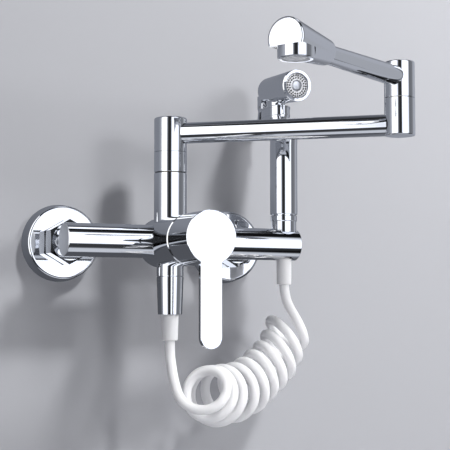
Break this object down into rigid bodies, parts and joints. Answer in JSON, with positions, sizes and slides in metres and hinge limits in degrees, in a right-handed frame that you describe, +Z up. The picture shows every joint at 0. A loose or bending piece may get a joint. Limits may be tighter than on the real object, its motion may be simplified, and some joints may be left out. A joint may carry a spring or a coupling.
{
  "type": "wall mounted pot filler",
  "caption": "Wall mounted mixer with a double-jointed swing spout, a front mixing lever and a docked trigger spray gun on a coiled hose.",
  "frame": {"origin": "on the wall plane, halfway between the two inlet threads, at the height of the cross bar", "axes": "+Z up, +Y into the wall (the threads point along +Y), +X to the right for someone facing the wall"},
  "size_m": [0.26, 0.283, 0.2975],
  "materials": {
    "chrome": "mirror polished chrome plate",
    "bright_chrome": "mirror polished chrome plate on the hand parts",
    "brass": "machined brass",
    "stainless": "machined stainless steel",
    "seal_rubber": "black nitrile rubber",
    "white_hose": "glossy white polyurethane hose",
    "white_ferrule": "soft white moulded sleeve",
    "cartridge_plastic": "moulded engineering plastic",
    "ceramic": null,
    "spray_plate": "silver grey moulded plate with jets",
    "insert_plastic": "moulded white aerator insert"
  },
  "bodies": {
    "root": {"wall_union_left": "brass", "wall_union_right": "brass", "escutcheon_left": "chrome", "escutcheon_right": "chrome", "union_nut_left": "chrome", "union_nut_right": "chrome", "union_washer_left": "seal_rubber", "union_washer_right": "seal_rubber", "inlet_tail_left": "chrome", "inlet_tail_right": "chrome", "mixer_body": "chrome", "cartridge_gasket": "seal_rubber", "cartridge_body": "cartridge_plastic", "disc_fixed": "ceramic", "cartridge_nut": "brass", "column_riser": "chrome", "column_spigot": "brass", "column_washer": "cartridge_plastic", "column_seals": "seal_rubber", "outlet_cone": "chrome", "ferrule_left": "white_ferrule", "hose_lead_left": "white_hose", "hose_coil": "white_hose", "hose_lead_right": "white_hose"},
    "lever_turn": {"stem_guide": "cartridge_plastic", "stem_pin": "stainless", "disc_moving": "ceramic"},
    "lever_lift": {"lever_stem": "stainless", "lever_handle": "bright_chrome", "handle_screw": "stainless"},
    "inner_arm": {"swivel_ring": "chrome", "arm_hub": "chrome", "inner_arm_tube": "chrome", "elbow_lower_sleeve": "chrome", "elbow_spigot": "brass", "elbow_seals": "seal_rubber"},
    "outer_arm": {"elbow_upper_sleeve": "chrome", "outer_arm_tube": "chrome", "nozzle_head": "chrome", "aerator_collar": "chrome", "aerator_insert": "insert_plastic", "aerator_gasket": "seal_rubber"},
    "spray_gun": {"sprayer_base": "chrome", "sprayer_ring": "chrome", "sprayer_body": "bright_chrome", "spray_bezel": "bright_chrome", "spray_plate": "spray_plate", "trigger_pin": "stainless", "ferrule_right": "white_ferrule"},
    "trigger": {"trigger": "bright_chrome"},
    "plunger": {"spray_plunger": "stainless"}
  },
  "joints": [
    {"name": "temperature_turn", "type": "hinge", "parent": "root", "child": "lever_turn", "pos_m": [0, -0.104, 0], "axis": [0, -1, 0], "range_deg": [-45, 45]},
    {"name": "lever_lift", "type": "hinge", "parent": "lever_turn", "child": "lever_lift", "pos_m": [0, -0.114, 0], "axis": [-1, 0, 0], "range_deg": [0, 18]},
    {"name": "inner_arm_swing", "type": "hinge", "parent": "root", "child": "inner_arm", "pos_m": [0, -0.059, 0.0883], "axis": [0, 0, 1], "range_deg": [-95, 10]},
    {"name": "outer_arm_swing", "type": "hinge", "parent": "inner_arm", "child": "outer_arm", "pos_m": [0.14124, -0.18049, 0.1089], "axis": [0, 0, 1], "range_deg": [-68, 180]},
    {"name": "sprayer_lift", "type": "slide", "parent": "root", "child": "spray_gun", "axis": [0, 0, 1], "range_m": [0, 0.06]},
    {"name": "trigger_squeeze", "type": "hinge", "parent": "spray_gun", "child": "trigger", "pos_m": [0.1044, -0.032, 0.1206], "axis": [-1, 0, 0], "range_deg": [0, 9], "stiffness_Nm_per_rad": 0.15, "springref_deg": -6.88},
    {"name": "plunger_slide", "type": "slide", "parent": "spray_gun", "child": "plunger", "axis": [0, -1, 0], "range_m": [0, 0.0015]}
  ],
  "couplings": [
    {"joint": "plunger_slide", "follows": "trigger_squeeze", "m_per_rad": 0.0091}
  ]
}
